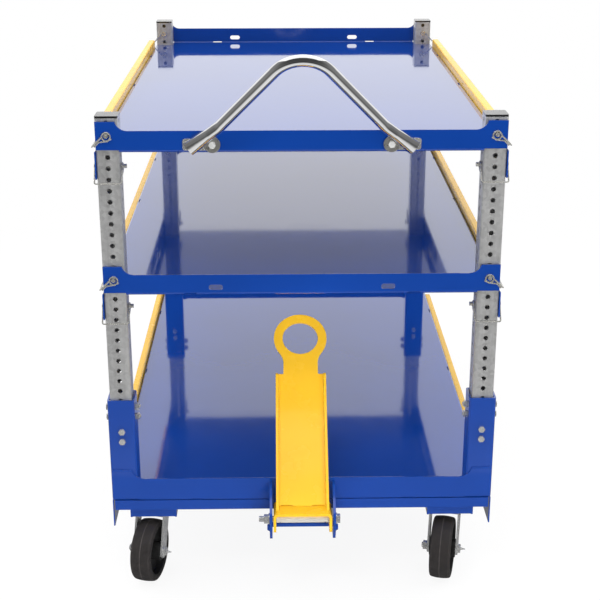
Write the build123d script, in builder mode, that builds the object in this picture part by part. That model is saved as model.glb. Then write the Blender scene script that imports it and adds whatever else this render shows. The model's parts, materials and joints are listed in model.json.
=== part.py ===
"""Adjustable tow cart: a base on casters, two pinned shelves on perforated posts, a folding tow tongue.

Millimetres. The origin is on the floor under the middle of the cart, +X to the right of someone who
faces the tongue end, +Y from the tongue end to the far end, +Z up.
"""
from build123d import *
from math import cos, sin, sqrt, radians
import os

# Sheet-metal trays: the base deck and the two shelves
tray_width = 914.4
tray_length = 1574.8
sheet = 3.0
bend_radius = 2.5
notch_clearance = 1.0
shelf_side_clearance = 0.35
ear_past_pin = 19.3
ear_curve = 28.0
lip_height = 47.9
ear_height = 68.0
ear_inset = 4.8
flange_height = 65.0
base_lip_height = 58.3
base_ear_height = 79.5
base_ear_inset = 2.6
base_flange_height = 74.0
handle_slot_length = 32.0
handle_slot_width = 12.7
handle_slot_spread = 391.0
handle_slot_height = 18.0
bend_slot_length = 30.0
bend_slot_width = 4.0
end_bend_slot_width = 6.0
end_bend_slot_spread = 508.0
side_bend_slot_pitch = 495.0

# Posts, sockets and their bolts
post_size = 50.8
post_wall = 2.7
post_corner = 4.0
post_length = 914.4
post_foot_gap = 12.5
post_fit = 1.59
hole_pitch = 25.4
hole_diameter = 11.1
end_hole_margin = 10.2
socket_wall = 4.76
socket_corner = 6.0
socket_height = 259.0
cap_thickness = 4.8
cap_plug_depth = 16.0
cap_clearance = 0.4

# Socket bolts, counted in holes from the foot of the posts
front_bolt_holes = (6, 7)
side_bolt_holes = (8, 9)

# Where the shelves are pinned, counted in holes from the top of the posts
top_pin_hole = 2
middle_pin_hole = 15
pin_above_deck = 38.1
side_pin_drop = 3

# Locking pins with wire bails
pin_play = 0.8
pin_head_diameter = 17.0
pin_head_height = 5.0
pin_tip_reach = 9.0
wire_diameter = 3.5
wire_gap = 1.5
bail_ring_clearance = 2.6
bail_ring_sag = 2.4
bail_drop = 25.0
side_bail_drop = 32.5
bail_bend = 4.0

# Side rails: angles bolted outside the flanges, at one of three heights from the deck
rail_leg = 42.5
rail_flange = 18.0
rail_thickness = 3.2
rail_bend = 1.5
rail_front_margin = 172.0
rail_rear_margin = 96.0
rail_corner = 6.0
rail_bolt_below_top = 34.5
rail_bolt_pitch = 495.0
raised_rail = 16.0
dropped_rail = -11.0
top_rail = 20.5

# Common bolt sizes
bolt_play = 0.8
bolt_flats = 14.3
bolt_head_height = 6.4
nut_height = 8.0
bolt_end = 3.0
bolt_clearance = 0.4
small_bolt_diameter = 7.9
small_bolt_flats = 12.7
small_nut_height = 6.5

# Base frame
beam_height = 25.4
beam_depth = 22.0
beam_wall = 2.5
beam_setback = 1.0
beam_end_gap = 6.0
beam_count = 4
runner_width = 112.0
runner_thickness = 4.8
runner_height = 25.5
runner_end_strip = 19.5
runner_inset = 96.5
runner_setback = 11.0
caster_inset = 62.0

# Casters
wheel_diameter = 152.4
caster_headroom = 38.1
wheel_width = 50.8
tyre_depth = 13.0
tyre_crown = 3.0
tyre_shoulder = 6.0
rim_wall = 5.0
rim_setback = 1.0
core_web = 14.0
hub_diameter = 46.0
hub_proud = 6.0
axle_diameter = 12.7
axle_flats = 19.0
axle_nut_height = 11.0
axle_clearance = 0.15
caster_plate_x = 101.6
caster_plate_y = 108.0
caster_plate_thickness = 6.35
caster_bolt_spread = 76.2
race_diameter = 70.0
race_height = 15.0
race_gap = 0.6
crown_thickness = 6.0
kingpin_diameter = 16.0
kingpin_head = 26.0
kingpin_head_height = 5.0
swivel_offset = 58.0
fork_leg = 5.0
fork_side_gap = 1.0
swivel_leg_span = (10.0, 45.0)
rigid_leg_span = (-27.0, 27.0)
crown_back = 34.0
fork_boss = 16.5
grease_nipple = 7.0
grease_nipple_length = 12.0
left_swivel_angle = -14.0
right_swivel_angle = -13.5

# Push handle
handle_diameter = 25.4
handle_wall = 1.7
handle_flat_width = 31.0
handle_flat_depth = 15.0
handle_end_x = 246.0
handle_end_height = 10.0
handle_bend_x = 178.0
handle_bend_height = 62.0
handle_bend_lean = 16.0
handle_apex_reach = 101.4
handle_apex_height = 215.0
handle_apex_radius = 76.0
handle_bend_radius = 60.0
tab_length = 76.0
tab_height = 26.0
tab_thickness = 4.8
tab_overhang = 14.0
washer_diameter = 36.0
inner_washer_diameter = 22.0
washer_thickness = 2.0

# Tow tongue and its hinge
tongue_lean = 48.0
tongue_width = 125.0
tongue_plate = 6.35
tongue_flange = 21.5
tongue_bend = 8.0
tongue_tip = 12.0
tongue_channel_end = 372.0
tongue_neck_width = 86.0
tongue_eye_distance = 471.5
tongue_eye_outer = 133.4
tongue_eye_hole = 89.0
tongue_eye_curve = 45.0
tongue_rest_gap = 0.5
foot_gap = 1.5
foot_gap_length = 30.0
foot_gap_spread = 74.0
pivot_forward = 75.0
pivot_above_deck = -12.9
knuckle_rise = 24.3
knuckle_drop = 28.6
knuckle_front = 23.0
knuckle_back = 39.3
knuckle_bend = 5.0
knuckle_corner = 12.0
lug_thickness = 6.35
lug_gap = 2.75
lug_nose = 20.0
lug_foot = 55.0
lug_top_gap = 7.0
lug_boss_diameter = 20.0
lug_boss_height = 6.0
lug_boss_drop = 26.0
stop_bar_height = 10.0
stop_bar_back = 54.0
stop_bar_drop = 46.0
hitch_bolt_diameter = 12.7
hitch_bolt_flats = 19.0
hitch_head_height = 8.0
hitch_nut_height = 11.0
hitch_thread_end = 12.0
hitch_clearance = 0.15
hitch_washer = 27.0
hitch_washer_thickness = 2.5
sleeve_diameter = 19.0
sleeve_end_gap = 0.6
sleeve_collar = 9.0
sleeve_groove = 2.0
sleeve_groove_depth = 1.5

# Derived places
half_width = tray_width / 2
half_length = tray_length / 2
socket_size = post_size + 2 * (post_fit + socket_wall)
hole_count = int((post_length - 2 * end_hole_margin) / hole_pitch + 0.01) + 1
pin_diameter = hole_diameter - 2 * pin_play
bolt_diameter = hole_diameter - 2 * bolt_play
caster_height = wheel_diameter + caster_headroom
hub_length = wheel_width + 2 * hub_proud
runner_centre_x = half_width - runner_inset
post_x = half_width - socket_size / 2
post_y = half_length - sheet - socket_size / 2
shelf_half = post_x + post_size / 2 + shelf_side_clearance + sheet
ear_edge = post_x - ear_past_pin
front_reach = handle_apex_reach + handle_diameter / 2
rear_reach = pin_tip_reach
tray_y = (front_reach - rear_reach) / 2
front_face = tray_y - half_length
rear_face = tray_y + half_length
runner_bottom = caster_height
runner_top = runner_bottom + runner_thickness
base_bottom = runner_top + beam_height
base_top = base_bottom + sheet
post_bottom = base_top + post_foot_gap
post_top = post_bottom + post_length
outer_bend = bend_radius + sheet

corners = {
    "front_left": (-1, -1),
    "front_right": (1, -1),
    "rear_left": (-1, 1),
    "rear_right": (1, 1),
}

# Height of each tray's left and right rail from its deck
rail_heights = {
    "base": {-1: raised_rail, 1: dropped_rail},
    "middle": {-1: dropped_rail, 1: raised_rail},
    "top": {-1: top_rail, 1: top_rail},
}


def hole_height(number):
    """Height of a post hole, counted from the top of the post."""
    return post_top - end_hole_margin - hole_pitch * (number - 1)


def foot_hole_height(number):
    """Height of a post hole, counted from the foot of the post."""
    return hole_height(hole_count + 1 - number)


def corner_place(sides):
    """Middle of the post at one corner."""
    return (sides[0] * post_x, tray_y + sides[1] * post_y)


def shelf_bottom(pin_hole):
    """Underside of a shelf whose front pins are in this hole."""
    return hole_height(pin_hole) - pin_above_deck


def finish(part, label):
    """Name a finished piece and write it."""
    part.label = label
    export_step(part, f"parts/{label}.step")


def across(x, y, z, way=1):
    """Plane at a point that faces along X, with its own Y axis upwards."""
    return Plane(origin=(x, y, z), x_dir=(0, way, 0), z_dir=(way, 0, 0))


def along(x, y, z, way=-1):
    """Plane at a point that faces along Y, with its own Y axis upwards."""
    return Plane(origin=(x, y, z), x_dir=(-way, 0, 0), z_dir=(0, way, 0))


def upright(x, y, z, way=1):
    """Plane at a point that faces along Z."""
    return Plane(origin=(x, y, z), x_dir=(1, 0, 0), z_dir=(0, 0, way))


def add_bolt(plane, shank, diameter, flats, head):
    """Add a hex bolt: the head stands on the plane's back, the shank runs along its normal."""
    with BuildSketch(plane) as hexagon:
        RegularPolygon(flats / 2, 6, major_radius=False)
    extrude(hexagon.sketch, amount=-head)
    with BuildSketch(plane) as rod:
        Circle(diameter / 2)
    extrude(rod.sketch, amount=shank)


def add_nut(plane, height, diameter, flats):
    """Add a hex nut that stands on the plane."""
    with BuildSketch(plane) as hexagon:
        RegularPolygon(flats / 2, 6, major_radius=False)
        Circle(diameter / 2 + axle_clearance, mode=Mode.SUBTRACT)
    extrude(hexagon.sketch, amount=height)


def build_tray(half, bottom, lip, ear, inset, flange, tube, rises):
    """A folded tray: end lips with ears stand up, side flanges hang down.

    The bends stop short of the corner tubes, and a tray that slides on its tubes is notched for them.
    """
    bend_start = half_length - outer_bend
    notch_x = post_x - tube / 2 - notch_clearance
    notch_y = post_y - tube / 2 - notch_clearance
    ear_foot = ear_edge - sqrt(ear_curve**2 - (ear_curve - ear + lip) ** 2)
    with BuildPart() as tray:
        # Deck and side flanges, folded from one sheet
        with BuildSketch(along(0, tray_y, bottom)) as section:
            with Locations((0, sheet - flange / 2)):
                Rectangle(2 * half, flange)
            fillet(section.vertices().group_by(Axis.Y)[-1], outer_bend)
            with BuildSketch(mode=Mode.PRIVATE) as hollow:
                with Locations((0, -flange / 2)):
                    Rectangle(2 * half - 2 * sheet, flange)
                fillet(hollow.vertices().group_by(Axis.Y)[-1], bend_radius)
            add(hollow.sketch, mode=Mode.SUBTRACT)
        extrude(amount=bend_start, both=True)
        for way in (-1, 1):
            # The bend from the deck into the end lip, between the corners
            with BuildSketch(across(0, tray_y, bottom)):
                with Locations((way * bend_start, outer_bend)):
                    Circle(outer_bend)
                    Circle(bend_radius, mode=Mode.SUBTRACT)
                with Locations((way * (bend_start + outer_bend / 2), outer_bend / 2)):
                    Rectangle(outer_bend, outer_bend, mode=Mode.INTERSECT)
            extrude(amount=notch_x, both=True)
            # The end lip with an ear at each corner
            with BuildSketch(along(0, tray_y + way * half_length, bottom)):
                with BuildLine():
                    Polyline((ear_foot, lip), (0, lip), (0, outer_bend), (half - inset, outer_bend),
                             (half - inset, ear), (ear_edge, ear))
                    TangentArc((ear_foot, lip), (ear_edge, ear), tangent=(1, 0))
                make_face()
                mirror(about=Plane.YZ)
            extrude(amount=way * sheet)
        # Narrow slots through the middle of the end bends, and beside the side bends
        for way in (-1, 1):
            bend_middle = Plane(origin=(0, tray_y + way * bend_start, bottom + outer_bend),
                                x_dir=(1, 0, 0), z_dir=(0, way, -1))
            with BuildSketch(bend_middle):
                with GridLocations(end_bend_slot_spread, 1, 2, 1):
                    SlotOverall(bend_slot_length, end_bend_slot_width)
            extrude(amount=outer_bend + sheet, mode=Mode.SUBTRACT)
        with BuildSketch(upright(0, tray_y, bottom)):
            with GridLocations(2 * half - 2 * outer_bend, side_bend_slot_pitch, 2, 3):
                SlotOverall(bend_slot_length, bend_slot_width, rotation=90)
        extrude(amount=sheet, mode=Mode.SUBTRACT)
        # A shelf has handle slots, corner notches for the posts, and pin holes in its ears and flanges
        if tube == post_size:
            with BuildSketch(along(0, tray_y, bottom + handle_slot_height)):
                with GridLocations(handle_slot_spread, 1, 2, 1):
                    SlotOverall(handle_slot_length, handle_slot_width)
            extrude(amount=tray_length, both=True, mode=Mode.SUBTRACT)
            notch_width = half - sheet - notch_x
            notch_length = half_length - sheet - notch_y
            with BuildSketch(upright(0, tray_y, bottom - bend_radius)):
                with GridLocations(2 * notch_x + notch_width, 2 * notch_y + notch_length, 2, 2):
                    Rectangle(notch_width, notch_length)
            extrude(amount=sheet + 2 * bend_radius, mode=Mode.SUBTRACT)
            with BuildSketch(along(0, tray_y, bottom + pin_above_deck)):
                with GridLocations(2 * post_x, 1, 2, 1):
                    Circle(hole_diameter / 2)
            extrude(amount=tray_length, both=True, mode=Mode.SUBTRACT)
            with BuildSketch(across(0, tray_y, bottom + pin_above_deck - side_pin_drop * hole_pitch)):
                with GridLocations(2 * post_y, 1, 2, 1):
                    Circle(hole_diameter / 2)
            extrude(amount=tray_width, both=True, mode=Mode.SUBTRACT)
        # Bolt holes for the side rails
        for side, rise in rises.items():
            with BuildSketch(across(side * half, tray_y, rail_bolt_height(bottom, rise))):
                with GridLocations(rail_bolt_pitch, 1, 3, 1):
                    Circle(small_bolt_diameter / 2 + bolt_clearance)
            extrude(amount=2 * sheet, both=True, mode=Mode.SUBTRACT)
    return tray.part


def rail_bolt_height(bottom, rise):
    """Height of the bolts of a rail whose top stands this far above the deck."""
    return bottom + sheet + rise - rail_bolt_below_top


def build_rail(half, side, bottom, rise):
    """An angle on the outside of a flange: one leg lies on the flange, the top points outwards."""
    top = bottom + sheet + rise
    outwards = Axis((0, 0, 0), (side, 0, 0))
    length = tray_length - rail_front_margin - rail_rear_margin
    middle_y = tray_y + (rail_front_margin - rail_rear_margin) / 2
    with BuildPart() as rail:
        with BuildSketch(along(side * half, middle_y, top, -side)) as section:
            with Locations((rail_flange / 2, -rail_thickness / 2)):
                Rectangle(rail_flange, rail_thickness)
            with Locations((rail_thickness / 2, -rail_leg / 2)):
                Rectangle(rail_thickness, rail_leg)
            inside = section.vertices().sort_by_distance((rail_thickness, -rail_thickness))[0]
            fillet(inside, rail_bend)
            outside = section.vertices().sort_by_distance((0, 0))[0]
            fillet(outside, rail_bend + rail_thickness)
        extrude(amount=length / 2, both=True)
        fillet(rail.edges().filter_by(Axis.Z).group_by(outwards)[-1], rail_corner)
        fillet(rail.edges().filter_by(Axis.X).group_by(Axis.Z)[0], rail_corner)
        with BuildSketch(across(side * half, tray_y, rail_bolt_height(bottom, rise))):
            with GridLocations(rail_bolt_pitch, 1, 3, 1):
                Circle(small_bolt_diameter / 2 + bolt_clearance)
        extrude(amount=2 * rail_thickness, both=True, mode=Mode.SUBTRACT)
    return rail.part


def build_rail_bolts(half, bottom, rises):
    """Bolts that hold both rails of a tray: heads outside, nuts under the deck."""
    shank = rail_thickness + sheet + small_nut_height + bolt_end
    with BuildPart() as bolts:
        for side, rise in rises.items():
            height = rail_bolt_height(bottom, rise)
            for step in (-1, 0, 1):
                y = tray_y + step * rail_bolt_pitch
                head = across(side * (half + rail_thickness), y, height, -side)
                add_bolt(head, shank, small_bolt_diameter, small_bolt_flats, bolt_head_height)
                with BuildSketch(across(side * (half - sheet), y, height, -side)):
                    RegularPolygon(small_bolt_flats / 2, 6, major_radius=False)
                extrude(amount=small_nut_height)
    return bolts.part


def build_post(sides):
    """A square tube with a row of holes down the middle of each face."""
    x, y = corner_place(sides)
    middle = hole_height((hole_count + 1) / 2)
    with BuildPart() as post:
        with BuildSketch(upright(x, y, post_bottom)):
            RectangleRounded(post_size, post_size, post_corner)
            RectangleRounded(
                post_size - 2 * post_wall,
                post_size - 2 * post_wall,
                post_corner - post_wall,
                mode=Mode.SUBTRACT,
            )
        extrude(amount=post_length)
        with BuildSketch(along(x, y, middle)):
            with GridLocations(1, hole_pitch, 1, hole_count):
                Circle(hole_diameter / 2)
        extrude(amount=post_size, both=True, mode=Mode.SUBTRACT)
        with BuildSketch(across(x, y, middle)):
            with GridLocations(1, hole_pitch, 1, hole_count):
                Circle(hole_diameter / 2)
        extrude(amount=post_size, both=True, mode=Mode.SUBTRACT)
    return post.part


def build_socket(sides):
    """A short square tube on the base deck that holds the foot of a post."""
    x, y = corner_place(sides)
    with BuildPart() as socket:
        with BuildSketch(upright(x, y, base_top)):
            RectangleRounded(socket_size, socket_size, socket_corner)
            RectangleRounded(
                socket_size - 2 * socket_wall,
                socket_size - 2 * socket_wall,
                socket_corner - socket_wall,
                mode=Mode.SUBTRACT,
            )
        extrude(amount=socket_height)
        for number in front_bolt_holes:
            with BuildSketch(along(x, y, foot_hole_height(number))):
                Circle(hole_diameter / 2)
            extrude(amount=socket_size, both=True, mode=Mode.SUBTRACT)
        for number in side_bolt_holes:
            with BuildSketch(across(x, y, foot_hole_height(number))):
                Circle(hole_diameter / 2)
            extrude(amount=socket_size, both=True, mode=Mode.SUBTRACT)
    return socket.part


def socket_bolt_planes(reach):
    """Planes on the outer (reach 1) or inner (reach -1) socket faces, facing inwards along the bolts."""
    planes = []
    for sides in corners.values():
        x, y = corner_place(sides)
        for number in front_bolt_holes:
            face = y + reach * sides[1] * socket_size / 2
            planes.append(along(x, face, foot_hole_height(number), -sides[1]))
        for number in side_bolt_holes:
            face = x + reach * sides[0] * socket_size / 2
            planes.append(across(face, y, foot_hole_height(number), -sides[0]))
    return planes


def build_pins(bottom):
    """Locking pins of one shelf: one through each ear and one through each flange corner."""
    ear_height_z = bottom + pin_above_deck
    side_height = ear_height_z - side_pin_drop * hole_pitch
    with BuildPart() as pins:
        for sides in corners.values():
            x, y = corner_place(sides)
            head_y = y - sides[1] * post_size / 2
            length = half_length + pin_tip_reach - (post_y - post_size / 2)
            add_pin(along(x, head_y, ear_height_z, sides[1]), length)
            side_head = across(sides[0] * shelf_half, y, side_height, -sides[0])
            side_length = shelf_half - (post_x - post_size / 2) + pin_tip_reach + wire_diameter
            add_pin(side_head, side_length)
    return pins.part


def add_pin(plane, length):
    """Add a round pin with a flat head on the plane's back."""
    with BuildSketch(plane) as head:
        Circle(pin_head_diameter / 2)
    extrude(head.sketch, amount=-pin_head_height)
    with BuildSketch(plane) as rod:
        Circle(pin_diameter / 2)
    extrude(rod.sketch, amount=length)


def build_bails(bottom):
    """Wire bails that run from each pin's head round the post to a ring on the pin's tip."""
    ear_z = bottom + pin_above_deck
    side_z = ear_z - side_pin_drop * hole_pitch
    ring = pin_diameter / 2 + bail_ring_clearance + wire_diameter / 2
    off = wire_diameter / 2 + wire_gap
    with BuildPart() as bails:
        for sides in corners.values():
            x, y = corner_place(sides)
            # Round the outer side of the post, above the deck
            out_x = sides[0] * (shelf_half + off)
            head_y = y - sides[1] * (post_size / 2 + pin_head_height / 2)
            ring_y = tray_y + sides[1] * (half_length + off)
            head_x = x + sides[0] * (pin_head_diameter + wire_diameter) / 2
            low = ear_z - bail_drop
            add_bail(
                (head_x, head_y, ear_z),
                (out_x, head_y, low),
                (out_x, ring_y, low),
                (x + sides[0] * ring, ring_y, ear_z - bail_ring_sag),
            )
            add_ring(along(x, ring_y, ear_z - bail_ring_sag), ring)
            # Round the end of the post, below the deck
            out_y = tray_y + sides[1] * (half_length - outer_bend + off)
            head_x = sides[0] * (shelf_half + pin_head_height / 2)
            ring_x = x - sides[0] * (post_size / 2 + off)
            head_y = y + sides[1] * (pin_head_diameter + wire_diameter) / 2
            low = side_z - side_bail_drop
            add_bail(
                (head_x, head_y, side_z),
                (head_x, out_y, low),
                (ring_x, out_y, low),
                (ring_x, y + sides[1] * ring, side_z - bail_ring_sag),
            )
            add_ring(across(ring_x, y, side_z - bail_ring_sag), ring)
    return bails.part


def add_bail(*points):
    """Add a bent wire along these points."""
    with BuildLine() as route:
        FilletPolyline(*points, radius=bail_bend)
    with BuildSketch(Plane(origin=route.line @ 0, z_dir=route.line % 0)) as wire:
        Circle(wire_diameter / 2)
    sweep(wire.sketch, path=route.line)


def add_ring(plane, radius):
    """Add a wire ring round the plane's normal."""
    with BuildSketch(Plane(origin=plane.origin, x_dir=plane.x_dir, z_dir=plane.y_dir)) as wire:
        with Locations((radius, 0)):
            Circle(wire_diameter / 2)
    revolve(wire.sketch, axis=Axis(plane.origin, plane.z_dir))


def caster_centre(sides):
    """Middle of a caster's top plate at one corner."""
    y = tray_y + sides[1] * (half_length - runner_setback - caster_inset)
    return (sides[0] * runner_centre_x, y)


def build_wheel_core(centre, turn):
    """The black hub and web inside a tyre."""
    core_radius = wheel_diameter / 2 - tyre_depth
    with BuildPart() as core:
        with BuildSketch(axle_plane(centre, turn)):
            Circle(core_radius)
            Circle(axle_diameter / 2 + axle_clearance, mode=Mode.SUBTRACT)
        extrude(amount=core_web / 2, both=True)
        with BuildSketch(axle_plane(centre, turn)):
            Circle(hub_diameter / 2)
            Circle(axle_diameter / 2 + axle_clearance, mode=Mode.SUBTRACT)
        extrude(amount=hub_length / 2, both=True)
        with BuildSketch(axle_plane(centre, turn)):
            Circle(core_radius)
            Circle(core_radius - rim_wall, mode=Mode.SUBTRACT)
        extrude(amount=wheel_width / 2 - rim_setback, both=True)
    return core.part


def build_tyre(centre, turn):
    """A solid rubber tread with rounded shoulders."""
    outer = wheel_diameter / 2
    inner = outer - tyre_depth
    half = wheel_width / 2
    plane = axle_plane(centre, turn)
    with BuildPart() as tyre:
        with BuildSketch(Plane(origin=plane.origin, x_dir=plane.z_dir, z_dir=plane.x_dir)) as section:
            with BuildLine():
                shoulder = outer - tyre_crown
                ThreePointArc((-half, shoulder), (0, outer), (half, shoulder))
                Polyline((half, shoulder), (half, inner), (-half, inner), (-half, shoulder))
            make_face()
            corners_above = section.vertices().filter_by_position(Axis.Y, shoulder - 1, outer)
            fillet(corners_above, tyre_shoulder)
        revolve(axis=Axis(plane.origin, plane.z_dir))
    return tyre.part


def axle_plane(centre, turn):
    """Plane through the middle of a wheel, facing along its axle."""
    return Plane(
        origin=(centre[0], centre[1], wheel_diameter / 2),
        x_dir=(sin(radians(turn)), -cos(radians(turn)), 0),
        z_dir=(-cos(radians(turn)), -sin(radians(turn)), 0),
    )


def wheel_centre(sides, turn, offset):
    """Where a wheel stands: its fork trails from the swivel towards the tongue end."""
    x, y = caster_centre(sides)
    return (x + offset * sin(radians(turn)), y - offset * cos(radians(turn)))


def build_caster_plate(sides):
    """A swivel caster's top plate, with its bearing race and king pin."""
    x, y = caster_centre(sides)
    race_bottom = runner_bottom - caster_plate_thickness - race_height
    crown_bottom = race_bottom - race_gap - crown_thickness
    with BuildPart() as plate:
        with BuildSketch(upright(x, y, runner_bottom, -1)):
            RectangleRounded(caster_plate_x, caster_plate_y, 2 * bolt_end)
            with GridLocations(caster_bolt_spread, caster_bolt_spread, 2, 2):
                Circle(hole_diameter / 2, mode=Mode.SUBTRACT)
        extrude(amount=caster_plate_thickness)
        with BuildSketch(upright(x, y, runner_bottom - caster_plate_thickness, -1)):
            Circle(race_diameter / 2)
        extrude(amount=race_height)
        with BuildSketch(upright(x, y, race_bottom, -1)):
            Circle(kingpin_diameter / 2)
        extrude(amount=race_gap + crown_thickness + race_gap)
        with BuildSketch(upright(x, y, crown_bottom - race_gap, -1)):
            Circle(kingpin_head / 2)
        extrude(amount=kingpin_head_height)
    return plate.part


def add_fork_legs(sides, turn, offset, top, span):
    """Add the two legs of a fork, from its crown down past the axle."""
    plane = axle_plane(caster_centre(sides), turn)
    inner = hub_length / 2 + fork_side_gap
    rise = top - wheel_diameter / 2
    for way in (-1, 1):
        with BuildSketch(plane.offset(way * (inner + fork_leg / 2))) as leg:
            with BuildLine():
                Polyline(
                    (span[0], rise),
                    (span[1], rise),
                    (offset + fork_boss, 0),
                    (offset - fork_boss, 0),
                    close=True,
                )
            make_face()
            with Locations((offset, 0)):
                Circle(fork_boss)
                Circle(axle_diameter / 2 + axle_clearance, mode=Mode.SUBTRACT)
        extrude(leg.sketch, amount=fork_leg / 2, both=True)


def build_swivel_fork(sides, turn):
    """The turning fork of a front caster."""
    x, y = caster_centre(sides)
    top = runner_bottom - caster_plate_thickness - race_height - race_gap
    width = hub_length + 2 * fork_side_gap + 2 * fork_leg
    with BuildPart() as fork:
        add_fork_legs(sides, turn, swivel_offset, top - crown_thickness, swivel_leg_span)
        crown_plane = Plane(
            origin=(x, y, top),
            x_dir=(cos(radians(turn)), sin(radians(turn)), 0),
            z_dir=(0, 0, -1),
        )
        with BuildSketch(crown_plane):
            with Locations((0, (swivel_leg_span[1] - crown_back) / 2)):
                RectangleRounded(width, swivel_leg_span[1] + crown_back, fork_leg)
            Circle(kingpin_diameter / 2 + axle_clearance, mode=Mode.SUBTRACT)
        extrude(amount=crown_thickness)
    return fork.part


def build_rigid_fork(sides):
    """A rear caster's fixed fork with its top plate."""
    x, y = caster_centre(sides)
    top = runner_bottom - caster_plate_thickness
    with BuildPart() as fork:
        add_fork_legs(sides, 0, 0, top, rigid_leg_span)
        with BuildSketch(upright(x, y, runner_bottom, -1)):
            RectangleRounded(caster_plate_x, caster_plate_y, 2 * bolt_end)
            with GridLocations(caster_bolt_spread, caster_bolt_spread, 2, 2):
                Circle(hole_diameter / 2, mode=Mode.SUBTRACT)
        extrude(amount=caster_plate_thickness)
    return fork.part


def build_axles(wheels):
    """Axle bolts with their nuts, for wheels given by centre and turn."""
    reach = hub_length / 2 + fork_side_gap + fork_leg
    with BuildPart() as axles:
        for centre, turn in wheels:
            plane = axle_plane(centre, turn)
            head = plane.offset(-reach)
            add_bolt(head, 2 * reach + axle_nut_height + bolt_end, axle_diameter,
                     axle_flats, bolt_head_height)
            with BuildSketch(head.offset(-bolt_head_height)):
                Circle(grease_nipple / 2)
            extrude(amount=-grease_nipple_length, taper=12)
            with BuildSketch(plane.offset(reach)):
                RegularPolygon(axle_flats / 2, 6, major_radius=False)
            extrude(amount=axle_nut_height)
    return axles.part


def caster_bolt_places():
    """Every caster mounting bolt, as X and Y."""
    places = []
    for sides in corners.values():
        x, y = caster_centre(sides)
        for dx in (-1, 1):
            for dy in (-1, 1):
                places.append((x + dx * caster_bolt_spread / 2, y + dy * caster_bolt_spread / 2))
    return places


def tongue_plane():
    """Plane of the tongue at rest: local Y runs along the tongue, the normal faces its open side."""
    lean = radians(tongue_lean)
    return Plane(
        origin=(0, front_face - pivot_forward, base_top + pivot_above_deck),
        x_dir=(1, 0, 0),
        z_dir=(0, -cos(lean), sin(lean)),
    )


pivot_y = front_face - pivot_forward
pivot_z = base_top + pivot_above_deck
knuckle_top = pivot_z + knuckle_rise
knuckle_width = tongue_width + 2 * tongue_plate
lug_inner = knuckle_width / 2 + lug_gap
lug_outer = lug_inner + lug_thickness

os.makedirs("parts", exist_ok=True)

# Base deck with its lips, ears and skirts
base_deck = build_tray(half_width, base_bottom, base_lip_height, base_ear_height, base_ear_inset,
                       base_flange_height, socket_size, rail_heights["base"])
finish(base_deck, "base_deck")

# Hollow cross beams under the deck
with BuildPart() as base_beams:
    beam_pitch = (tray_length - 2 * beam_setback - beam_depth) / (beam_count - 1)
    with BuildSketch(across(0, tray_y, runner_top + beam_height / 2)):
        with GridLocations(beam_pitch, 1, beam_count, 1):
            Rectangle(beam_depth, beam_height)
            Rectangle(beam_depth - 2 * beam_wall, beam_height - 2 * beam_wall, mode=Mode.SUBTRACT)
    extrude(amount=half_width - beam_end_gap, both=True)
finish(base_beams.part, "base_beams")

# Folded runners under the beams, which the casters bolt to
with BuildPart() as caster_runners:
    for side in (-1, 1):
        runner_half = half_length - runner_setback
        with BuildSketch(along(side * runner_centre_x, tray_y, runner_top)):
            with Locations((0, -runner_height / 2)):
                Rectangle(runner_width, runner_height)
            with Locations((0, -runner_thickness - runner_height / 2)):
                Rectangle(runner_width - 2 * runner_thickness, runner_height, mode=Mode.SUBTRACT)
        extrude(amount=runner_half, both=True)
        with BuildSketch(upright(side * runner_centre_x, tray_y, runner_bottom, -1)):
            with GridLocations(1, 2 * runner_half - runner_thickness, 1, 2):
                Rectangle(runner_width - 2 * runner_thickness, runner_thickness)
        extrude(amount=runner_end_strip)
    for bolt_x, bolt_y in caster_bolt_places():
        with BuildSketch(upright(bolt_x, bolt_y, runner_bottom)):
            Circle(hole_diameter / 2)
        extrude(amount=runner_thickness, mode=Mode.SUBTRACT)
finish(caster_runners.part, "caster_runners")

# Sockets, posts and caps at the four corners
for corner, sides in corners.items():
    finish(build_socket(sides), f"socket_{corner}")
    finish(build_post(sides), f"post_{corner}")

with BuildPart() as post_caps:
    plug = post_size - 2 * post_wall - 2 * cap_clearance
    for sides in corners.values():
        cap_x, cap_y = corner_place(sides)
        with BuildSketch(upright(cap_x, cap_y, post_top)):
            RectangleRounded(post_size, post_size, post_corner)
        extrude(amount=cap_thickness)
        with BuildSketch(upright(cap_x, cap_y, post_top, -1)):
            Rectangle(plug, plug)
        extrude(amount=cap_plug_depth)
finish(post_caps.part, "post_caps")

# Bolts and nuts through the sockets
with BuildPart() as socket_bolts:
    for plane in socket_bolt_planes(1):
        add_bolt(plane, socket_size + nut_height + bolt_end, bolt_diameter, bolt_flats, bolt_head_height)
finish(socket_bolts.part, "socket_bolts")

with BuildPart() as socket_nuts:
    for plane in socket_bolt_planes(-1):
        add_nut(plane, nut_height, bolt_diameter, bolt_flats)
finish(socket_nuts.part, "socket_nuts")

# Shelves with their rails, pins and bails
trays = {
    "base": base_bottom,
    "middle": shelf_bottom(middle_pin_hole),
    "top": shelf_bottom(top_pin_hole),
}
for level, bottom in trays.items():
    rises = rail_heights[level]
    half = half_width
    if level != "base":
        half = shelf_half
        shelf = build_tray(half, bottom, lip_height, ear_height, ear_inset, flange_height, post_size, rises)
        finish(shelf, f"{level}_shelf")
        finish(build_pins(bottom), f"{level}_pins")
        finish(build_bails(bottom), f"{level}_bails")
    finish(build_rail(half, -1, bottom, rises[-1]), f"{level}_rail_left")
    finish(build_rail(half, 1, bottom, rises[1]), f"{level}_rail_right")
    finish(build_rail_bolts(half, bottom, rises), f"{level}_rail_bolts")

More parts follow.
